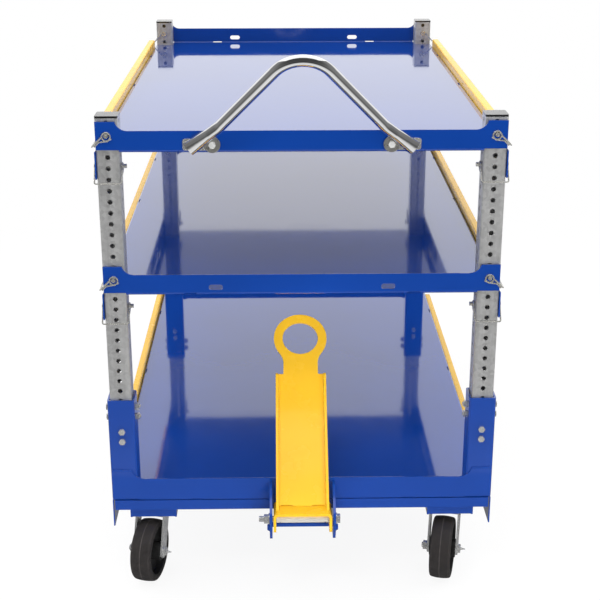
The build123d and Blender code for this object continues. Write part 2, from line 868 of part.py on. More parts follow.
# Push handle: a bent tube whose flattened ends are welded to two bolted tabs
top_bottom = trays["top"]
tab_face = front_face - tab_thickness
end_point = Vector(handle_end_x, tab_face - handle_flat_depth / 2, top_bottom + handle_end_height)
bend_point = end_point + Vector(
    handle_bend_x - handle_end_x, -handle_bend_lean, handle_bend_height - handle_end_height
)
apex = Vector(0, front_face - handle_apex_reach, top_bottom + handle_apex_height)
bend_middle = Vector(0, bend_point.Y, bend_point.Z)
rise = (apex - bend_middle).length
# Distance from the lower bends to the sharp corner that the apex arc rounds off
ratio = (handle_apex_radius / handle_bend_x) ** 2 - 1
spare = handle_apex_radius - rise
corner_distance = (spare - sqrt(spare**2 - ratio * (handle_apex_radius**2 - spare**2))) / ratio
corner_point = bend_middle + (apex - bend_middle).normalized() * corner_distance
flat_length = (bend_point - end_point).length - handle_bend_radius / 2
flat_way = (bend_point - end_point).normalized()
flat_start = end_point + flat_way * flat_length


def other_side(point):
    """Mirror a point to the left."""
    return Vector(-point.X, point.Y, point.Z)


with BuildPart() as handle_tube:
    with BuildLine() as handle_route:
        FilletPolyline(
            flat_start,
            bend_point,
            corner_point,
            other_side(bend_point),
            other_side(flat_start),
            radius=[handle_bend_radius, handle_apex_radius, handle_bend_radius],
        )
    with BuildSketch(Plane(origin=flat_start, z_dir=handle_route.line % 0)):
        Circle(handle_diameter / 2)
        Circle(handle_diameter / 2 - handle_wall, mode=Mode.SUBTRACT)
    sweep(path=handle_route.line)
    # The ends, squeezed from round to flat
    for shrink, mode in ((0, Mode.ADD), (handle_wall, Mode.SUBTRACT)):
        across_flat = Vector(0, 1, 0) - flat_way * flat_way.Y
        round_end = Plane(origin=flat_start, x_dir=flat_way.cross(across_flat), z_dir=-flat_way)
        flat_end = Plane(origin=end_point, x_dir=flat_way.cross(across_flat), z_dir=-flat_way)
        with BuildSketch(round_end):
            Circle(handle_diameter / 2 - shrink)
        with BuildSketch(flat_end):
            Ellipse(handle_flat_width / 2 - shrink, handle_flat_depth / 2 - shrink)
        loft(mode=mode)
    with BuildSketch(upright(handle_end_x, tab_face + handle_flat_depth, top_bottom - tab_height)):
        Rectangle(4 * handle_flat_width, 2 * handle_flat_depth)
    extrude(amount=4 * tab_height, mode=Mode.SUBTRACT)
    split(bisect_by=Plane.YZ, keep=Keep.TOP)
    mirror(about=Plane.YZ)
finish(handle_tube.part, "handle_tube")

tab_height_z = top_bottom + handle_slot_height
tab_centre_x = handle_end_x + tab_overhang - tab_length / 2
with BuildPart() as handle_tabs:
    with BuildSketch(along(0, front_face, tab_height_z, -1)):
        with GridLocations(2 * tab_centre_x, 1, 2, 1):
            RectangleRounded(tab_length, tab_height, 2 * bolt_end)
        with GridLocations(handle_slot_spread, 1, 2, 1):
            Circle(bolt_diameter / 2 + bolt_clearance, mode=Mode.SUBTRACT)
    extrude(amount=tab_thickness)
finish(handle_tabs.part, "handle_tabs")

# Wide washers stand on the tabs outside and on the lip inside
with BuildPart() as handle_washers:
    washers = ((tab_face, -1, washer_diameter), (front_face + sheet, 1, inner_washer_diameter))
    for washer_y, way, diameter in washers:
        with BuildSketch(along(0, washer_y, tab_height_z, way)):
            with GridLocations(handle_slot_spread, 1, 2, 1):
                Circle(diameter / 2)
                Circle(bolt_diameter / 2 + bolt_clearance, mode=Mode.SUBTRACT)
        extrude(amount=washer_thickness)
finish(handle_washers.part, "handle_washers")

bolt_face = tab_face - washer_thickness
handle_grip = sheet + tab_thickness + 2 * washer_thickness
with BuildPart() as handle_bolts:
    for side in (-1, 1):
        plane = along(side * handle_slot_spread / 2, bolt_face, tab_height_z, 1)
        add_bolt(plane, handle_grip + nut_height + bolt_end, bolt_diameter, bolt_flats, bolt_head_height)
finish(handle_bolts.part, "handle_bolts")

with BuildPart() as handle_nuts:
    for side in (-1, 1):
        nut_face = front_face + sheet + washer_thickness
        add_nut(along(side * handle_slot_spread / 2, nut_face, tab_height_z, 1),
                nut_height, bolt_diameter, bolt_flats)
finish(handle_nuts.part, "handle_nuts")

# Hinge bracket of the tongue: two lugs and a bar between them
lip_top = base_bottom + base_lip_height
lug_top = lip_top - lug_top_gap - pivot_z
with BuildPart() as hitch_bracket:
    for side in (-1, 1):
        with BuildSketch(across(side * lug_inner, front_face, pivot_z)) as outline:
            with BuildLine():
                Polyline(
                    (0, lug_top),
                    (-lug_nose, lug_top),
                    (-pivot_forward - lug_nose, lug_nose),
                    (-pivot_forward - lug_nose, -lug_nose),
                    (-pivot_forward, -lug_foot),
                    (-lug_nose, -lug_foot),
                    (0, runner_top - pivot_z),
                    close=True,
                )
            make_face()
            fillet(outline.vertices().group_by(Axis.X)[0], lug_nose / 2)
            fillet(outline.vertices().group_by(Axis.Y)[0], lug_nose / 2)
        extrude(amount=side * lug_thickness)
        boss_z = pivot_z - lug_boss_drop
        with BuildSketch(across(side * lug_outer, pivot_y + lug_boss_height, boss_z, side)):
            Circle(lug_boss_diameter / 2)
        extrude(amount=lug_boss_height, taper=30)
    with BuildSketch(across(0, pivot_y + stop_bar_back, pivot_z - stop_bar_drop)):
        RectangleRounded(stop_bar_height, stop_bar_height, stop_bar_height / 5)
    extrude(amount=lug_inner, both=True)
    with BuildSketch(across(0, pivot_y, pivot_z)):
        Circle(hitch_bolt_diameter / 2 + hitch_clearance)
    extrude(amount=2 * lug_outer, both=True, mode=Mode.SUBTRACT)
finish(hitch_bracket.part, "hitch_bracket")

# Tongue: a folded channel that narrows to the tow eye and stands on the knuckle
rest_plane = tongue_plane()
lip_corner = rest_plane.to_local_coords(Vector(0, front_face, lip_top))
web_back = lip_corner.Z + tongue_rest_gap
tongue_axis = Axis(rest_plane.origin, rest_plane.y_dir)
with BuildPart() as tongue:
    channel_plane = Plane(origin=rest_plane.origin, x_dir=(1, 0, 0), z_dir=-rest_plane.y_dir)
    with BuildSketch(channel_plane) as section:
        with Locations((0, web_back + tongue_flange / 2)):
            Rectangle(tongue_width, tongue_flange)
        fillet(section.vertices().group_by(Axis.Y)[0], tongue_bend)
        with BuildSketch(mode=Mode.PRIVATE) as hollow:
            with Locations((0, web_back + tongue_plate + tongue_flange / 2)):
                Rectangle(tongue_width - 2 * tongue_plate, tongue_flange)
            fillet(hollow.vertices().group_by(Axis.Y)[0], tongue_bend - tongue_plate)
        add(hollow.sketch, mode=Mode.SUBTRACT)
    extrude(amount=-tongue_channel_end)
    tips = tongue.edges().filter_by(Axis.X).filter_by(lambda edge: edge.length < 2 * tongue_plate)
    fillet(tips.group_by(tongue_axis)[-1], tongue_tip)
    with BuildSketch(rest_plane.offset(web_back)) as outline:
        with Locations((0, tongue_eye_distance)):
            Circle(tongue_eye_outer / 2)
        with Locations((0, tongue_eye_distance - tongue_eye_outer / 2)):
            Rectangle(tongue_neck_width, tongue_eye_outer)
        fillet(outline.vertices().group_by(Axis.Y)[1], tongue_eye_curve)
        with Locations((0, tongue_eye_distance)):
            Circle(tongue_eye_hole / 2, mode=Mode.SUBTRACT)
    extrude(amount=tongue_plate)
    with BuildSketch(upright(0, pivot_y, knuckle_top, -1)):
        Rectangle(2 * tongue_width, 4 * tongue_width)
    extrude(amount=tongue_width, mode=Mode.SUBTRACT)
    # Gaps at the foot of the web, on either side of its weld
    with BuildSketch(upright(0, pivot_y, knuckle_top)):
        with GridLocations(foot_gap_spread, 1, 2, 1):
            Rectangle(foot_gap_length, 4 * tongue_width)
    extrude(amount=foot_gap, mode=Mode.SUBTRACT)
finish(tongue.part, "tongue_plate")

# Knuckle under the tongue: a bent strap whose legs turn on the hinge bolt
with BuildPart() as knuckle:
    with BuildSketch(along(0, pivot_y - knuckle_front, pivot_z, 1)) as section:
        with Locations((0, (knuckle_rise - knuckle_drop) / 2)):
            Rectangle(knuckle_width, knuckle_rise + knuckle_drop)
        fillet(section.vertices().group_by(Axis.Y)[-1], knuckle_bend + tongue_plate)
        with BuildSketch(mode=Mode.PRIVATE) as hollow:
            with Locations((0, (knuckle_rise - knuckle_drop) / 2 - tongue_plate)):
                Rectangle(tongue_width, knuckle_rise + knuckle_drop)
            fillet(hollow.vertices().group_by(Axis.Y)[-1], knuckle_bend)
        add(hollow.sketch, mode=Mode.SUBTRACT)
    extrude(amount=knuckle_front + knuckle_back)
    fillet(knuckle.faces().sort_by(Axis.Z)[0:2].edges().filter_by(Axis.X), knuckle_corner)
    with BuildSketch(across(0, pivot_y, pivot_z)):
        Circle(hitch_bolt_diameter / 2 + hitch_clearance)
    extrude(amount=knuckle_width, both=True, mode=Mode.SUBTRACT)
finish(knuckle.part, "tongue_knuckle")

# Hinge bolt with its washers and nut
washer_face = lug_outer + hitch_washer_thickness
with BuildPart() as hitch_bolt:
    shank = 2 * washer_face + hitch_nut_height + hitch_thread_end
    add_bolt(across(washer_face, pivot_y, pivot_z, -1), shank, hitch_bolt_diameter,
             hitch_bolt_flats, hitch_head_height)
finish(hitch_bolt.part, "hitch_bolt")

with BuildPart() as hitch_washers:
    for side in (-1, 1):
        with BuildSketch(across(side * lug_outer, pivot_y, pivot_z, side)):
            Circle(hitch_washer / 2)
            Circle(hitch_bolt_diameter / 2 + hitch_clearance, mode=Mode.SUBTRACT)
        extrude(amount=hitch_washer_thickness)
finish(hitch_washers.part, "hitch_washers")

with BuildPart() as hitch_nut:
    add_nut(across(-washer_face, pivot_y, pivot_z, -1), hitch_nut_height,
            hitch_bolt_diameter, hitch_bolt_flats)
finish(hitch_nut.part, "hitch_nut")

# Spacer sleeve between the knuckle's legs, with a groove beside each end collar
with BuildPart() as hitch_sleeve:
    with BuildSketch(across(0, pivot_y, pivot_z)):
        Circle(sleeve_diameter / 2)
        Circle(hitch_bolt_diameter / 2 + hitch_clearance, mode=Mode.SUBTRACT)
    extrude(amount=tongue_width / 2 - sleeve_end_gap, both=True)
    for side in (-1, 1):
        with BuildSketch(across(side * (tongue_width / 2 - sleeve_collar), pivot_y, pivot_z)):
            Circle(sleeve_diameter)
            Circle(sleeve_diameter / 2 - sleeve_groove_depth, mode=Mode.SUBTRACT)
        extrude(amount=sleeve_groove / 2, both=True, mode=Mode.SUBTRACT)
finish(hitch_sleeve.part, "hitch_sleeve")

# Casters: two that swivel at the tongue end and two fixed ones at the far end
swivels = {"front_left": left_swivel_angle, "front_right": right_swivel_angle}
rear_axles = []
for corner, sides in corners.items():
    turn = swivels.get(corner, 0.0)
    offset = swivel_offset if corner in swivels else 0.0
    centre = wheel_centre(sides, turn, offset)
    if corner in swivels:
        finish(build_caster_plate(sides), f"caster_plate_{corner}")
        finish(build_swivel_fork(sides, turn), f"fork_{corner}")
        finish(build_axles([(centre, turn)]), f"axle_{corner}")
    else:
        finish(build_rigid_fork(sides), f"fork_{corner}")
        rear_axles.append((centre, turn))
    finish(build_wheel_core(centre, turn), f"wheel_core_{corner}")
    finish(build_tyre(centre, turn), f"tyre_{corner}")
finish(build_axles(rear_axles), "axles_rear")

# Bolts and nuts that hold the casters under the runners
with BuildPart() as caster_bolts:
    grip = caster_plate_thickness + runner_thickness
    for bolt_x, bolt_y in caster_bolt_places():
        plane = upright(bolt_x, bolt_y, runner_bottom - caster_plate_thickness)
        add_bolt(plane, grip + nut_height + bolt_end, bolt_diameter, bolt_flats, bolt_head_height)
finish(caster_bolts.part, "caster_bolts")

with BuildPart() as caster_nuts:
    for bolt_x, bolt_y in caster_bolt_places():
        add_nut(upright(bolt_x, bolt_y, runner_top), nut_height, bolt_diameter, bolt_flats)
finish(caster_nuts.part, "caster_nuts")
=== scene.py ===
import bpy
import json
from math import cos, pi, sin
from mathutils import Matrix, Vector


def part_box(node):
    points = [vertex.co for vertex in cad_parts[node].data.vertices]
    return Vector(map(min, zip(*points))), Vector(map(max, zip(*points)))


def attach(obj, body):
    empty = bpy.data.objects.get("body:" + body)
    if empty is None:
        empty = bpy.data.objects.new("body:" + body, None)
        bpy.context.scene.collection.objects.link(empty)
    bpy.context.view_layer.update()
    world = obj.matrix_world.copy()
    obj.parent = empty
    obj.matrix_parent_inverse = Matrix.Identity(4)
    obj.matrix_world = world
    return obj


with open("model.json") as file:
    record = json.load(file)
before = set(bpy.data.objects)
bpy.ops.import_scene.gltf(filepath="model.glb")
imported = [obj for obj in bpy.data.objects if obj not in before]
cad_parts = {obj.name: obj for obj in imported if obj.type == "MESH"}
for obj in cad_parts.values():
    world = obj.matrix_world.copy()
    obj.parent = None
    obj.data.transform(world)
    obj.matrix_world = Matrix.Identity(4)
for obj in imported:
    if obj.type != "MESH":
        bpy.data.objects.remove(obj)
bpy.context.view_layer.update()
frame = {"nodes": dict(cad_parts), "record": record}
nodes = frame["nodes"]
scene = bpy.context.scene

# Bails: their wire, rings and bends, in metres
wire = 0.0035
ring_radius = 0.0091
ring_sag = 0.0024
bail_drop = 0.025
side_bail_drop = 0.0325
side_pin_drop = 0.0762
pin_head_radius = 0.0085
wire_off = 0.00325
bail_bend_inset = 0.00225
tail_lead = 0.005
tail_join = 0.012
tail_end_gap = 0.004

# Weld beads, in metres
bead_radius = 0.0032
bead_step = 0.0042
bead_wander = 0.00035
bead_stand = 0.0006
bead_foot = 0.0004
bead_end_gap = 0.004
bead_corner_gap = 0.008
lug_bead_rise = 0.009
lug_bead_gap = 0.003
ear_past_pin = 0.0193
washer_thickness = 0.0025

# Thread of the hinge bolt, and the marks on a tyre, in metres
thread_pitch = 0.0017
thread_depth = 0.0007
hitch_bolt_radius = 0.00635
mould_line_half = 0.0011
shoulder_place = 0.0215
shoulder_width = 0.0035

# Surroundings in steps: value before, value after, where the step starts, where it ends
room_way = (0.0, -0.8, 0.6)
room_steps = ((0.03, 0.78, -0.3, 0.05), (0.0, 0.16, 0.3, 0.9))
horizon_step = (0.0, 0.1, 0.05, 0.2)
ground_step = (1.0, 0.25, 0.32, 0.66)
ambient_step = (0.1, 1.25, -0.8, 0.1)
floor_white_step = (0.9, 1.0, 1.0, 2.6)
floor_mirror_shade_step = (0.2, 0.9, 1.9, 2.9)
floor_front, floor_back, floor_half = -1.28, 9.0, 8.0
floor_colour = (0.92, 0.92, 0.92, 1)

# Soft lamps: place, target, size and watts
lamps = {
    "key": ((-1.2, -3.0, 4.2), (0, 0, 0.5), (1.8, 0.7), 45),
    "front": ((0.8, -4.5, 1.2), (0, 0, 0.7), (3.4, 1.2), 122),
    "wing_left": ((-3.4, 0.0, 1.7), (0, 0, 0.4), (3.0, 1.6), 35),
    "wing_right": ((3.4, 0.0, 1.7), (0, 0, 0.4), (3.0, 1.6), 35),
    "top": ((0, 0.4, 4.6), (0, 0, 0.8), (6.0, 6.0), 118),
}
lamps_in_mirrors = ("top",)
eye_below_top = 0.01
spot_distance = 3.0
spot_angle = 0.13
spot_softness = 0.15
spot_power = 310

# Camera fitted to the photograph
camera_place = (-0.04928, -3.44873, 1.72168)
camera_lens = 76.144
camera_sensor = 36.0
yaw, pitch, roll = 0.0164, 0.3494, 0.0009


# Node materials

def new_material(name):
    """Empty material with an output and a shader."""
    mat = bpy.data.materials.new(name)
    mat.use_nodes = True
    tree = mat.node_tree
    tree.nodes.clear()
    out = tree.nodes.new("ShaderNodeOutputMaterial")
    shader = tree.nodes.new("ShaderNodeBsdfPrincipled")
    tree.links.new(shader.outputs["BSDF"], out.inputs["Surface"])
    return mat, tree, shader


def place_of(tree, stretch=None):
    """Point in the row frame, stretched along its axes if asked."""
    coord = tree.nodes.new("ShaderNodeTexCoord")
    if not stretch:
        return coord.outputs["Object"]
    mapping = tree.nodes.new("ShaderNodeMapping")
    mapping.inputs["Scale"].default_value = stretch
    tree.links.new(coord.outputs["Object"], mapping.inputs["Vector"])
    return mapping.outputs["Vector"]


def add_noise(tree, scale, detail=2.0, rough=0.5, stretch=None):
    """Noise in the row frame, cells per metre."""
    noise = tree.nodes.new("ShaderNodeTexNoise")
    noise.inputs["Scale"].default_value = scale
    noise.inputs["Detail"].default_value = detail
    noise.inputs["Roughness"].default_value = rough
    tree.links.new(place_of(tree, stretch), noise.inputs["Vector"])
    return noise.outputs["Fac"]


def add_spangle(tree, scale):
    """Crystal cells of a zinc bath: one value per cell."""
    cells = tree.nodes.new("ShaderNodeTexVoronoi")
    cells.inputs["Scale"].default_value = scale
    tree.links.new(place_of(tree), cells.inputs["Vector"])
    split = tree.nodes.new("ShaderNodeSeparateColor")
    tree.links.new(cells.outputs["Color"], split.inputs["Color"])
    return split.outputs["Red"]


def add_math(tree, operation, first, second):
    """Math on two values, each a socket or a number."""
    node = tree.nodes.new("ShaderNodeMath")
    node.operation = operation
    for socket, value in zip(node.inputs, (first, second)):
        if isinstance(value, (int, float)):
            socket.default_value = value
        else:
            tree.links.new(value, socket)
    return node.outputs[0]


def add_ramp(tree, source, stops):
    """Colour ramp on a value: stops are (position, colour)."""
    ramp = tree.nodes.new("ShaderNodeValToRGB")
    ramp.color_ramp.elements[0].position = stops[0][0]
    ramp.color_ramp.elements[0].color = (*stops[0][1], 1.0)
    ramp.color_ramp.elements[1].position = stops[-1][0]
    ramp.color_ramp.elements[1].color = (*stops[-1][1], 1.0)
    for place, colour in stops[1:-1]:
        stop = ramp.color_ramp.elements.new(place)
        stop.color = (*colour, 1.0)
    tree.links.new(source, ramp.inputs["Fac"])
    return ramp.outputs["Color"]


def add_range(tree, source, low, high, start=0.3, end=0.7, smooth=False):
    """Spread a value over a range."""
    spread = tree.nodes.new("ShaderNodeMapRange")
    if smooth:
        spread.interpolation_type = "SMOOTHSTEP"
    spread.inputs["From Min"].default_value = start
    spread.inputs["From Max"].default_value = end
    spread.inputs["To Min"].default_value = low
    spread.inputs["To Max"].default_value = high
    tree.links.new(source, spread.inputs["Value"])
    return spread.outputs["Result"]


def soft_edges(tree, radius):
    """Normal that rolls over the sharp edges of a solid."""
    bevel = tree.nodes.new("ShaderNodeBevel")
    bevel.samples = 4
    bevel.inputs["Radius"].default_value = radius
    return bevel.outputs["Normal"]


def add_bump(tree, source, strength, distance, normal=None):
    """Normal that follows a height, laid over another normal if there is one."""
    bump = tree.nodes.new("ShaderNodeBump")
    bump.inputs["Strength"].default_value = strength
    bump.inputs["Distance"].default_value = distance
    tree.links.new(source, bump.inputs["Height"])
    if normal:
        tree.links.new(normal, bump.inputs["Normal"])
    return bump.outputs["Normal"]


def scaled(colour, k):
    """A colour made darker or paler."""
    return tuple(min(1.0, c * k) for c in colour)


def paint(name, colour, rough_low, rough_high, peel, wave, coat):
    """Gloss powder coat: slight unevenness in tone, a fine orange peel and the waves of thin sheet."""
    mat, tree, shader = new_material(name)
    tone = add_noise(tree, 4.0, 4.0)
    shade = add_ramp(tree, tone, ((0.3, scaled(colour, 0.93)), (0.7, scaled(colour, 1.07))))
    tree.links.new(shade, shader.inputs["Base Color"])
    uneven = add_range(tree, add_noise(tree, 18.0, 4.0), rough_low, rough_high)
    tree.links.new(uneven, shader.inputs["Roughness"])
    edges = soft_edges(tree, 0.0014)
    waves = add_bump(tree, add_noise(tree, 5.0, 1.0), 1.0, wave, edges)
    grain = add_bump(tree, add_noise(tree, 500.0, 1.0), peel, 0.0002, waves)
    tree.links.new(grain, shader.inputs["Normal"])
    tree.links.new(grain, shader.inputs["Coat Normal"])
    shader.inputs["IOR"].default_value = 1.5
    shader.inputs["Coat Weight"].default_value = coat
    shader.inputs["Coat IOR"].default_value = 1.5
    shader.inputs["Coat Roughness"].default_value = 0.03
    return mat


def metal(name, colour, rough_low, rough_high, grain, spread, edge, bare, bump=0.05):
    """Plated or bare metal with a mottled tone; an edge of 0 leaves its edges sharp."""
    mat, tree, shader = new_material(name)
    tone = add_noise(tree, grain, 4.0, 0.6)
    shade = add_ramp(tree, tone, ((0.3, scaled(colour, 1 - spread)), (0.7, scaled(colour, 1 + spread))))
    tree.links.new(shade, shader.inputs["Base Color"])
    uneven = add_range(tree, add_noise(tree, grain * 1.7, 3.0), rough_low, rough_high)
    tree.links.new(uneven, shader.inputs["Roughness"])
    shader.inputs["Metallic"].default_value = bare
    rolled = soft_edges(tree, edge) if edge else None
    pitted = add_bump(tree, add_noise(tree, grain * 4, 2.0), bump, 0.0002, rolled)
    tree.links.new(pitted, shader.inputs["Normal"])
    return mat


def galvanised(name, colour, stretch):
    """Hot-dipped tube: pale crystal cells under drawn streaks."""
    mat, tree, shader = new_material(name)
    streaks = add_noise(tree, 60.0, 4.0, 0.6, stretch)
    cells = add_spangle(tree, 130.0)
    streaks_share = add_math(tree, "MULTIPLY", streaks, 0.75)
    mixed = add_math(tree, "ADD", streaks_share, add_math(tree, "MULTIPLY", cells, 0.25))
    shade = add_ramp(tree, mixed, ((0.3, scaled(colour, 0.84)), (0.7, scaled(colour, 1.14))))
    tree.links.new(shade, shader.inputs["Base Color"])
    tree.links.new(add_range(tree, mixed, 0.3, 0.4), shader.inputs["Roughness"])
    shader.inputs["Metallic"].default_value = 0.65
    drawn = add_noise(tree, 240.0, 2.0, 0.5, stretch)
    tree.links.new(add_bump(tree, drawn, 0.05, 0.0002, soft_edges(tree, 0.001)), shader.inputs["Normal"])
    return mat


def dull(name, colour, rough, grain, bump, coat=0.0):
    """Moulded plastic."""
    mat, tree, shader = new_material(name)
    tone = add_noise(tree, grain, 4.0, 0.6)
    shade = add_ramp(tree, tone, ((0.3, scaled(colour, 0.75)), (0.7, scaled(colour, 1.3))))
    tree.links.new(shade, shader.inputs["Base Color"])
    uneven = add_range(tree, add_noise(tree, grain * 2, 3.0), rough - 0.08, rough + 0.08)
    tree.links.new(uneven, shader.inputs["Roughness"])
    pitted = add_bump(tree, add_noise(tree, grain * 14, 2.0), bump, 0.0004, soft_edges(tree, 0.0008))
    tree.links.new(pitted, shader.inputs["Normal"])
    shader.inputs["Coat Weight"].default_value = coat
    shader.inputs["Coat Roughness"].default_value = 0.08
    return mat


def rubber(name, colour, centre, axle):
    """Tyre rubber, scuffed paler along the mould line and at the shoulders, in bands round the axle."""
    mat, tree, shader = new_material(name)
    offset = tree.nodes.new("ShaderNodeVectorMath")
    offset.operation = "SUBTRACT"
    tree.links.new(place_of(tree), offset.inputs[0])
    offset.inputs[1].default_value = centre
    across = tree.nodes.new("ShaderNodeVectorMath")
    across.operation = "DOT_PRODUCT"
    tree.links.new(offset.outputs["Vector"], across.inputs[0])
    across.inputs[1].default_value = axle
    aside = add_math(tree, "ABSOLUTE", across.outputs["Value"], 0.0)
    line = add_range(tree, aside, 1.0, 0.0, mould_line_half * 0.5, mould_line_half * 1.6, True)
    off_shoulder = add_math(tree, "ABSOLUTE", add_math(tree, "SUBTRACT", aside, shoulder_place), 0.0)
    shoulder = add_range(tree, off_shoulder, 1.0, 0.0, 0.0, shoulder_width, True)
    dust = add_noise(tree, 55.0, 5.0, 0.65)
    line_wear = add_math(tree, "MULTIPLY", line, 0.32)
    wear = add_math(tree, "ADD", line_wear, add_math(tree, "MULTIPLY", shoulder, 0.12))
    tone = add_math(tree, "ADD", add_math(tree, "MULTIPLY", dust, 0.6), wear)
    worn = ((0.15, scaled(colour, 0.7)), (0.42, scaled(colour, 1.25)), (0.8, scaled(colour, 3.2)))
    tree.links.new(add_ramp(tree, tone, worn), shader.inputs["Base Color"])
    tree.links.new(add_range(tree, dust, 0.55, 0.75), shader.inputs["Roughness"])
    ridge = add_bump(tree, line, 0.6, 0.0005, soft_edges(tree, 0.0012))
    tree.links.new(add_bump(tree, add_noise(tree, 700.0, 2.0), 0.12, 0.0004, ridge), shader.inputs["Normal"])
    return mat


blue = (0.005, 0.05, 0.312)
yellow = (0.95, 0.54, 0.022)
finishes = {
    "blue_paint": paint("blue_paint", blue, 0.05, 0.10, 0.05, 0.00012, 1.0),
    "yellow_paint": paint("yellow_paint", yellow, 0.2, 0.3, 0.08, 0.0001, 0.25),
    "galvanised": galvanised("galvanised", (0.62, 0.62, 0.615), (1.0, 1.0, 0.06)),
    "zinc": metal("zinc", (0.8, 0.8, 0.79), 0.16, 0.24, 45.0, 0.08, 0.0011, 0.75),
    "pin_steel": metal("pin_steel", (0.76, 0.75, 0.7), 0.2, 0.3, 120.0, 0.08, 0.0008, 0.8),
    "chrome": metal("chrome", (0.86, 0.86, 0.86), 0.02, 0.05, 30.0, 0.03, 0.0, 1.0, 0.01),
    "cap_plastic": dull("cap_plastic", (0.010, 0.010, 0.011), 0.3, 60.0, 0.03, 1.0),
    "hub": dull("hub", (0.012, 0.012, 0.012), 0.6, 80.0, 0.1),
}
tyre_colour = (0.024, 0.021, 0.0205)
# Plate too thin for rolled edges, the handle's washers darkened as painted shade under bolts brightened as a
# painted highlight, and the polished sleeve
plate_zinc = metal("plate_zinc", (0.74, 0.74, 0.74), 0.18, 0.26, 45.0, 0.06, 0.0, 0.7)
shaded_washer_zinc = metal("shaded_washer_zinc", (0.5, 0.49, 0.46), 0.25, 0.35, 70.0, 0.14, 0.0024, 0.8)
lit_bolt_zinc = metal("lit_bolt_zinc", (0.88, 0.88, 0.86), 0.15, 0.25, 60.0, 0.06, 0.002, 0.3)
polished_zinc = metal("polished_zinc", (0.88, 0.86, 0.8), 0.07, 0.14, 60.0, 0.05, 0.0, 0.35, 0.03)
own_finish = {"handle_washers": shaded_washer_zinc, "handle_bolts": lit_bolt_zinc, "hitch_sleeve": polished_zinc}


def axle_of(corner):
    """Middle of a wheel and the way its axle points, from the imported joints."""
    low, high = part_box(f"tyre_{corner}")
    centre = (low + high) / 2
    for joint in frame["record"]["behaviour"]["joints"]:
        if joint["name"] == f"wheel_{corner}_spin":
            return centre, Vector(joint["axis"])
    return centre, Vector((1, 0, 0))


for entry in frame["record"]["subparts"]:
    node = nodes[entry["node"]]
    slot = entry["material_slot"]
    node.data.materials.clear()
    if slot == "tyre":
        corner = entry["node"].removeprefix("tyre_")
        node.data.materials.append(rubber(f"rubber_{corner}", tyre_colour, *axle_of(corner)))
    elif entry["node"].startswith(("fork_", "caster_plate_")):
        node.data.materials.append(plate_zinc)
    else:
        node.data.materials.append(own_finish.get(entry["node"], finishes[slot]))


# Worked details in mesh code

def add_tube(points, radii, mesh_points, faces, sides=8):
    """Append a closed tube along points, with its own radius at each."""
    first = len(mesh_points)
    ahead = (points[1] - points[0]).normalized()
    spread = ahead.orthogonal().normalized()
    for i, point in enumerate(points):
        step = points[min(i + 1, len(points) - 1)] - points[max(i - 1, 0)]
        turn = ahead.rotation_difference(step.normalized())
        ahead = step.normalized()
        spread.rotate(turn)
        side = ahead.cross(spread)
        for k in range(sides):
            angle = 2 * pi * k / sides
            mesh_points.append(point + (spread * cos(angle) + side * sin(angle)) * radii[i])
    for i in range(len(points) - 1):
        ring = first + i * sides
        for k in range(sides):
            after = (k + 1) % sides
            faces.append((ring + k, ring + after, ring + sides + after, ring + sides + k))
    faces.append(tuple(first + k for k in reversed(range(sides))))
    last = first + (len(points) - 1) * sides
    faces.append(tuple(last + k for k in range(sides)))


def add_piece(name, mesh_points, faces, body, slot):
    """Make a smooth mesh object that rides on a body and takes a slot's finish."""
    mesh = bpy.data.meshes.new(name)
    mesh.from_pydata(mesh_points, [], faces)
    mesh.shade_smooth()
    mesh.materials.append(finishes[slot])
    piece = bpy.data.objects.new(name, mesh)
    scene.collection.objects.link(piece)
    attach(piece, body)


def add_bead(start, end, mesh_points, faces, seed):
    """A hand-laid weld bead: overlapping ripples whose size and line wander a little."""
    run = end - start
    count = max(4, int(run.length / bead_step) * 4)
    points = []
    radii = []
    for i in range(count + 1):
        t = i / count
        ripple = abs(sin(pi * t * count / 4))
        wander = sin(5.1 * t + seed) + 0.6 * sin(13.7 * t + 2.3 * seed)
        taper = min(1.0, 6 * t + 0.35, 6 * (1 - t) + 0.35)
        points.append(start + run * t + Vector((0, 0, bead_wander * wander)))
        radii.append(bead_radius * taper * (0.78 + 0.22 * ripple + 0.06 * wander))
    add_tube(points, radii, mesh_points, faces, 10)


def twist(start, end, turns, radius):
    """Points of a wire wound round the line from start to end."""
    run = end - start
    out = run.normalized().orthogonal().normalized()
    side = run.normalized().cross(out)
    steps = int(turns * 14)
    points = []
    for i in range(steps + 1):
        t = i / steps
        angle = 2 * pi * turns * t
        points.append(start + run * t + (out * cos(angle) + side * sin(angle)) * radius)
    return points


def add_tail(ring, leave, corner, mesh_points, faces):
    """The return wire of a bail, from under the ring and beside the first wire to the corner."""
    run = (corner - leave).normalized()
    normal = (leave - ring).cross(run).normalized()
    under = run.cross(normal).normalized()
    if under.dot(Vector((0, 0, 1))) > 0:
        under = -under
    back = (leave - ring).normalized()
    beside = under * wire * 1.02
    length = (corner - leave).length
    points = [ring + (under * cos(a) - back * sin(a)) * ring_radius for a in (0.9, 0.6, 0.3, 0.0)]
    points += [ring + under * ring_radius * 0.97 + run * tail_lead]
    points += [leave + run * max(tail_join, length * 0.42) + beside, leave + run * length * 0.75 + beside]
    points += [corner + beside - run * tail_end_gap]
    add_tube(points, [wire / 2] * len(points), mesh_points, faces, 10)


def corner_signs():
    """Each corner's name, with the signs of its X and Y."""
    return {f"{end}_{side}": (sx, sy) for end, sy in (("front", -1), ("rear", 1))
            for side, sx in (("left", -1), ("right", 1))}


